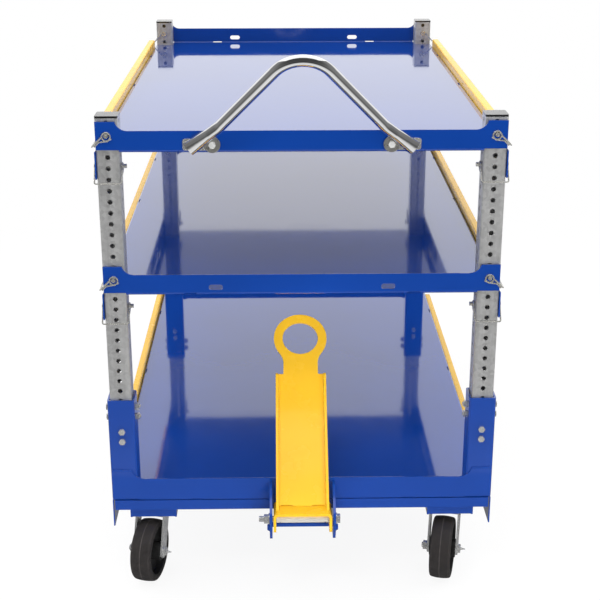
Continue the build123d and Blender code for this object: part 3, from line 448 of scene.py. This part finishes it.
# Return wires of the bails
for shelf in ("top", "middle"):
    tail_points, tail_faces = [], []
    shelf_low, shelf_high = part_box(f"{shelf}_shelf")
    bail_low, bail_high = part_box(f"{shelf}_bails")
    ear_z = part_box(f"{shelf}_pins")[1].z - pin_head_radius
    side_z = ear_z - side_pin_drop
    for corner, (sx, sy) in corner_signs().items():
        post_low, post_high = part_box(f"post_{corner}")
        middle = (post_low + post_high) / 2
        ring_y = bail_low.y + wire / 2 if sy < 0 else bail_high.y - wire / 2
        out_x = bail_low.x + wire / 2 if sx < 0 else bail_high.x - wire / 2
        ring = Vector((middle.x, ring_y, ear_z - ring_sag))
        leave = ring + Vector((sx * ring_radius, 0, 0))
        add_tail(ring, leave, Vector((out_x, ring_y, ear_z - bail_drop)), tail_points, tail_faces)
        ring_x = post_high.x + wire_off if sx < 0 else post_low.x - wire_off
        end_y = shelf_low.y + bail_bend_inset if sy < 0 else shelf_high.y - bail_bend_inset
        ring = Vector((ring_x, middle.y, side_z - ring_sag))
        leave = ring + Vector((0, sy * ring_radius, 0))
        add_tail(ring, leave, Vector((ring_x, end_y, side_z - side_bail_drop)), tail_points, tail_faces)
    add_piece(f"{shelf}_bail_tails", tail_points, tail_faces, f"{shelf}_shelf", "pin_steel")

# Weld beads: on the base ears, round the feet of the sockets, and beside the hinge lugs
bead_points, bead_faces = [], []
deck_low, deck_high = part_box("base_deck")
for number, (corner, (sx, sy)) in enumerate(corner_signs().items()):
    low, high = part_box(f"socket_{corner}")
    post_low, post_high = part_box(f"post_{corner}")
    outer_x, inner_x = (low.x, high.x) if sx < 0 else (high.x, low.x)
    outer_y, inner_y = (low.y, high.y) if sy < 0 else (high.y, low.y)
    ear_edge = (post_low.x + post_high.x) / 2 - sx * ear_past_pin
    face_y = outer_y + sy * bead_stand
    ear_top = deck_high.z + bead_stand
    foot = low.z + bead_foot
    add_bead(Vector((outer_x - sx * bead_end_gap, face_y, ear_top)),
             Vector((ear_edge, face_y, ear_top)), bead_points, bead_faces, number)
    add_bead(Vector((inner_x, outer_y - sy * bead_corner_gap, foot)),
             Vector((inner_x, inner_y, foot)), bead_points, bead_faces, number + 4)
    add_bead(Vector((inner_x, inner_y, foot)),
             Vector((outer_x - sx * bead_corner_gap, inner_y, foot)), bead_points, bead_faces, number + 8)
lug_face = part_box("hitch_washers")[1].x - washer_thickness
lug_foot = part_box("base_beams")[1].z + lug_bead_rise
lug_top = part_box("hitch_bracket")[1].z - lug_bead_gap
for side in (-1, 1):
    add_bead(Vector((side * lug_face, deck_low.y, lug_foot)),
             Vector((side * lug_face, deck_low.y, lug_top)), bead_points, bead_faces, side)
add_piece("weld_beads", bead_points, bead_faces, "base", "blue_paint")

# Thread on the free end of the hinge bolt
bolt_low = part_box("hitch_bolt")[0]
nut_low, nut_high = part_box("hitch_nut")
bolt_middle = (nut_low + nut_high) / 2
thread_start = Vector((nut_low.x, bolt_middle.y, bolt_middle.z))
thread_end = Vector((bolt_low.x + thread_pitch, bolt_middle.y, bolt_middle.z))
turns = (thread_start.x - thread_end.x) / thread_pitch
thread_path = twist(thread_start, thread_end, turns, hitch_bolt_radius)
thread_points, thread_faces = [], []
add_tube(thread_path, [thread_depth] * len(thread_path), thread_points, thread_faces, 6)
add_piece("hitch_thread", thread_points, thread_faces, "base", "zinc")


# Floor, white surroundings and soft lamps

def see_white(tree):
    """1 for the rays that see the surroundings, and 1 for the mirror and glass rays among them."""
    path = tree.nodes.new("ShaderNodeLightPath")
    mirrors = add_math(tree, "MAXIMUM", path.outputs["Is Glossy Ray"], path.outputs["Is Transmission Ray"])
    return add_math(tree, "MAXIMUM", path.outputs["Is Camera Ray"], mirrors), mirrors


def facing(tree, way):
    """How far a direction of the surroundings points one way, from -1 to 1."""
    coord = tree.nodes.new("ShaderNodeTexCoord")
    node = tree.nodes.new("ShaderNodeVectorMath")
    node.operation = "DOT_PRODUCT"
    tree.links.new(coord.outputs["Generated"], node.inputs[0])
    node.inputs[1].default_value = way
    return node.outputs["Value"]


world = bpy.data.worlds.new("studio")
scene.world = world
world.use_nodes = True
tree = world.node_tree
tree.nodes.clear()
out = tree.nodes.new("ShaderNodeOutputWorld")
white_rays, mirror_rays = see_white(tree)
# Mirrors see a white backdrop beyond the cart and a dim room on the near side, above and behind the lamps
toward = facing(tree, room_way)
down = facing(tree, (0.0, 0.0, -1.0))
near = add_math(tree, "ADD", *(add_range(tree, toward, *step, True) for step in room_steps))
near = add_math(tree, "ADD", near, add_range(tree, down, *horizon_step))
near = add_math(tree, "MINIMUM", near, 1.0)
below = add_range(tree, down, *ground_step, True)
room = add_math(tree, "MULTIPLY", near, below)
seen = tree.nodes.new("ShaderNodeBackground")
tree.links.new(add_math(tree, "SUBTRACT", 1.0, add_math(tree, "MULTIPLY", room, mirror_rays)),
               seen.inputs["Strength"])
ambient = tree.nodes.new("ShaderNodeBackground")
behind = facing(tree, (0.0, 1.0, 0.0))
tree.links.new(add_range(tree, behind, *ambient_step, True), ambient.inputs["Strength"])
choose = tree.nodes.new("ShaderNodeMixShader")
for background in (seen, ambient):
    background.inputs["Color"].default_value = (1, 1, 1, 1)
tree.links.new(white_rays, choose.inputs["Fac"])
tree.links.new(ambient.outputs[0], choose.inputs[1])
tree.links.new(seen.outputs[0], choose.inputs[2])
tree.links.new(choose.outputs[0], out.inputs["Surface"])

# A sheet of white paper that ends a little in front of the cart
mesh = bpy.data.meshes.new("floor")
mesh.from_pydata([(-floor_half, floor_front, 0), (floor_half, floor_front, 0),
                  (floor_half, floor_back, 0), (-floor_half, floor_back, 0)], [], [(0, 1, 2, 3)])
floor = bpy.data.objects.new("floor", mesh)
scene.collection.objects.link(floor)
mat, tree, shader = new_material("floor")
shader.inputs["Roughness"].default_value = 0.9
glow = tree.nodes.new("ShaderNodeEmission")
glow.inputs["Color"].default_value = (1, 1, 1, 1)
mix = tree.nodes.new("ShaderNodeMixShader")
# The camera sees it white, with the cart's shadow; mirrors see only a glow with painted shade, dull by the
# cart and bright further back
reach = tree.nodes.new("ShaderNodeVectorMath")
reach.operation = "LENGTH"
tree.links.new(place_of(tree), reach.inputs[0])
split = tree.nodes.new("ShaderNodeSeparateXYZ")
tree.links.new(place_of(tree), split.inputs[0])
path = tree.nodes.new("ShaderNodeLightPath")
camera_ray, mirror_ray = path.outputs["Is Camera Ray"], path.outputs["Is Glossy Ray"]
white = add_range(tree, reach.outputs["Value"], *floor_white_step, True)
shown_white = add_math(tree, "MULTIPLY", camera_ray, white)
tree.links.new(add_math(tree, "ADD", shown_white, mirror_ray), mix.inputs["Fac"])
# Painted shade: the glow that mirrors see is dim by the cart and bright further back, in place of the
# floor's lit shading
bright = add_range(tree, split.outputs["Y"], *floor_mirror_shade_step, True)
mirror_glow = add_math(tree, "MULTIPLY", mirror_ray, bright)
tree.links.new(add_math(tree, "ADD", camera_ray, mirror_glow), glow.inputs["Strength"])
shader.inputs["Base Color"].default_value = floor_colour
tree.links.new(shader.outputs[0], mix.inputs[1])
tree.links.new(glow.outputs[0], mix.inputs[2])
for node in tree.nodes:
    if node.type == "OUTPUT_MATERIAL":
        tree.links.new(mix.outputs[0], node.inputs["Surface"])
floor.data.materials.append(mat)


def place_lamp(data, place, target):
    """Stand a lamp at a place, turned to its target."""
    obj = bpy.data.objects.new(data.name, data)
    scene.collection.objects.link(obj)
    obj.location = place
    obj.rotation_euler = (Vector(target) - Vector(place)).to_track_quat("-Z", "Y").to_euler()
    obj.visible_glossy = data.name in lamps_in_mirrors


for name, (place, target, size, power) in lamps.items():
    data = bpy.data.lights.new(name, "AREA")
    data.shape = "RECTANGLE"
    data.size, data.size_y = size
    data.energy = power
    place_lamp(data, place, target)

# A soft spot reaches under the middle shelf to the tongue's eye
eye_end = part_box("tongue_plate")[1]
eye = Vector((0, eye_end.y - eye_below_top, eye_end.z - eye_below_top))
spot = bpy.data.lights.new("eye_spot", "SPOT")
spot.energy = spot_power
spot.spot_size = spot_angle
spot.spot_blend = 1.0
spot.shadow_soft_size = spot_softness
place_lamp(spot, eye + Vector((0, -spot_distance, 0)), eye)

# Camera at the photograph's viewing angle
forward = Vector((sin(yaw) * cos(pitch), cos(yaw) * cos(pitch), -sin(pitch)))
right = Vector((cos(yaw), -sin(yaw), 0))
below_view = forward.cross(right)
across_frame = right * cos(roll) + below_view * sin(roll)
down_frame = below_view * cos(roll) - right * sin(roll)
turn = Matrix((across_frame, -down_frame, -forward)).transposed()
camera_data = bpy.data.cameras.new("camera")
camera_data.sensor_width = camera_sensor
camera_data.lens = camera_lens
camera = bpy.data.objects.new("camera", camera_data)
camera.matrix_world = Matrix.Translation(camera_place) @ turn.to_4x4()
scene.collection.objects.link(camera)
scene.camera = camera

scene.view_settings.view_transform = "Standard"
